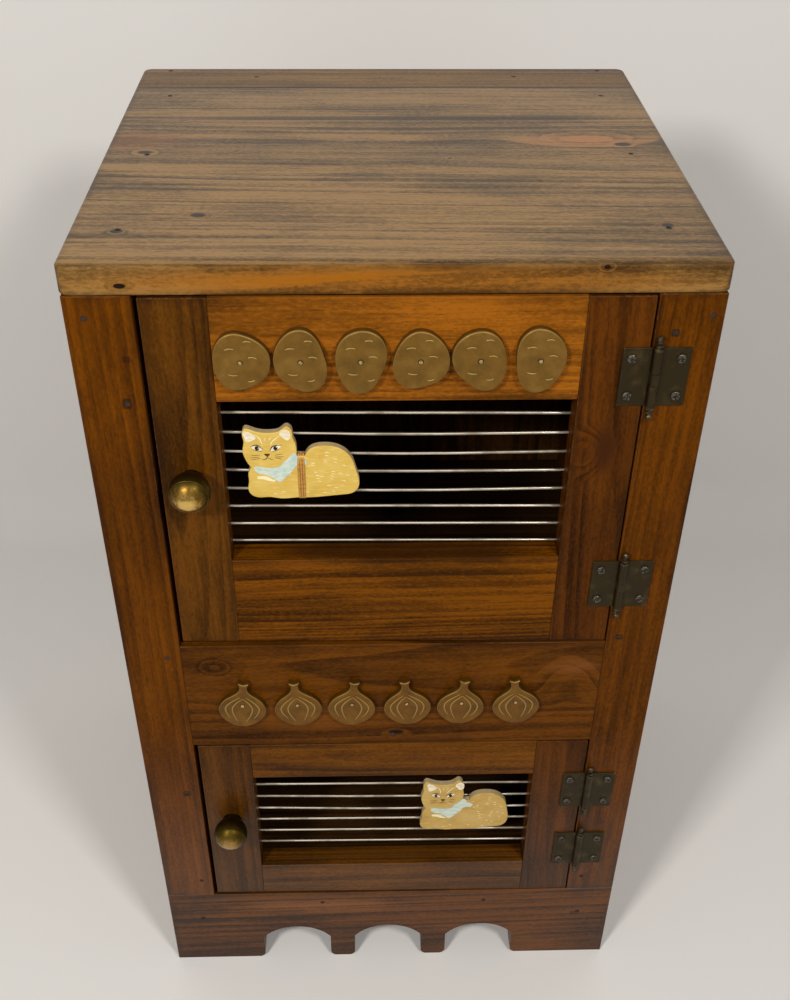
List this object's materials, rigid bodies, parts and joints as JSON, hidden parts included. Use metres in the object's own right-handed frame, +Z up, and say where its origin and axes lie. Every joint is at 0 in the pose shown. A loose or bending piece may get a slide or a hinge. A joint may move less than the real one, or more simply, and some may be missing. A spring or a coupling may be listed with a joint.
{
  "type": "potato storage bin",
  "caption": "Free-standing pine cabinet with an upper potato bin and a lower onion bin behind wire-fronted doors on surface hinges.",
  "frame": {"origin": "on the floor, below the middle of the box round the cabinet and its knobs", "axes": "+Z up, the doors face -Y, +X to the right as seen from the front, where the hinges are"},
  "size_m": [0.403, 0.405, 0.711],
  "materials": {
    "top_pine": "brown-stained pine, satin varnish",
    "frame_pine": "warm brown-stained pine, satin varnish",
    "door_pine": "warm brown-stained pine, satin varnish",
    "side_pine": "warm brown-stained pine, satin varnish",
    "inner_pine": "dark stained pine, flat",
    "gold_painted_wood": "antique gold paint",
    "dark_nail_steel": "darkened steel",
    "galvanised_wire": "dull galvanised",
    "screw_steel": "worn plating",
    "antique_brass_plate": "antique, darkened",
    "aged_brass": "aged, low sheen",
    "catch_plastic": "brown, matte",
    "strike_steel": "bright zinc",
    "ferrite_magnet": "sintered ferrite",
    "tan_rubber": "matte",
    "painted_cat_wood": "hand-painted"
  },
  "bodies": {
    "cabinet": {"back_board_1": "inner_pine", "back_board_2": "inner_pine", "back_board_3": "inner_pine", "base_board": "frame_pine", "cabinet_nails": "dark_nail_steel", "catch_screws": "screw_steel", "corner_post_left": "inner_pine", "corner_post_right": "inner_pine", "divider_shelf": "inner_pine", "face_stile_left": "frame_pine", "face_stile_right": "frame_pine", "floor_panel": "inner_pine", "frame_leaf_screws": "screw_steel", "hinge_1_frame_leaf": "antique_brass_plate", "hinge_2_frame_leaf": "antique_brass_plate", "hinge_3_frame_leaf": "antique_brass_plate", "hinge_4_frame_leaf": "antique_brass_plate", "hinge_pins": "antique_brass_plate", "lower_catch": "catch_plastic", "middle_rail": "frame_pine", "onion_brads": "dark_nail_steel", "onion_ornaments": "gold_painted_wood", "side_panel_left": "side_pine", "side_panel_right": "side_pine", "top_back_strip": "top_pine", "top_cleat_back": "inner_pine", "top_cleat_left": "inner_pine", "top_cleat_right": "inner_pine", "top_front_board": "top_pine", "upper_catch": "catch_plastic"},
    "upper_door": {"hinge_1_door_leaf": "antique_brass_plate", "hinge_2_door_leaf": "antique_brass_plate", "potato_brads": "dark_nail_steel", "potato_ornaments": "gold_painted_wood", "upper_bottom_rail": "door_pine", "upper_knob": "aged_brass", "upper_knob_screw": "screw_steel", "upper_leaf_screws": "screw_steel", "upper_stile_left": "door_pine", "upper_stile_right": "door_pine", "upper_strike": "strike_steel", "upper_top_rail": "door_pine", "upper_wires": "galvanised_wire"},
    "lower_door": {"hinge_3_door_leaf": "antique_brass_plate", "hinge_4_door_leaf": "antique_brass_plate", "lower_bottom_rail": "door_pine", "lower_knob": "aged_brass", "lower_knob_screw": "screw_steel", "lower_leaf_screws": "screw_steel", "lower_stile_left": "door_pine", "lower_stile_right": "door_pine", "lower_strike": "strike_steel", "lower_top_rail": "door_pine", "lower_wires": "galvanised_wire"},
    "upper_cat": {"upper_cat": "painted_cat_wood", "upper_cat_magnet": "ferrite_magnet", "cat_rubber_band": "tan_rubber"},
    "lower_cat": {"lower_cat": "painted_cat_wood", "lower_cat_magnet": "ferrite_magnet"}
  },
  "joints": [
    {"name": "upper_door_hinge", "type": "hinge", "parent": "cabinet", "child": "upper_door", "pos_m": [0.162, -0.1788, 0.55], "axis": [0, 0, 1], "range_deg": [0, 170]},
    {"name": "lower_door_hinge", "type": "hinge", "parent": "cabinet", "child": "lower_door", "pos_m": [0.162, -0.1788, 0.198], "axis": [0, 0, 1], "range_deg": [0, 170]},
    {"name": "upper_cat_slide", "type": "slide", "parent": "upper_door", "child": "upper_cat", "axis": [1, 0, 0], "range_m": [-0.012, 0.138]},
    {"name": "lower_cat_slide", "type": "slide", "parent": "lower_door", "child": "lower_cat", "axis": [1, 0, 0], "range_m": [-0.136, 0.015]}
  ]
}
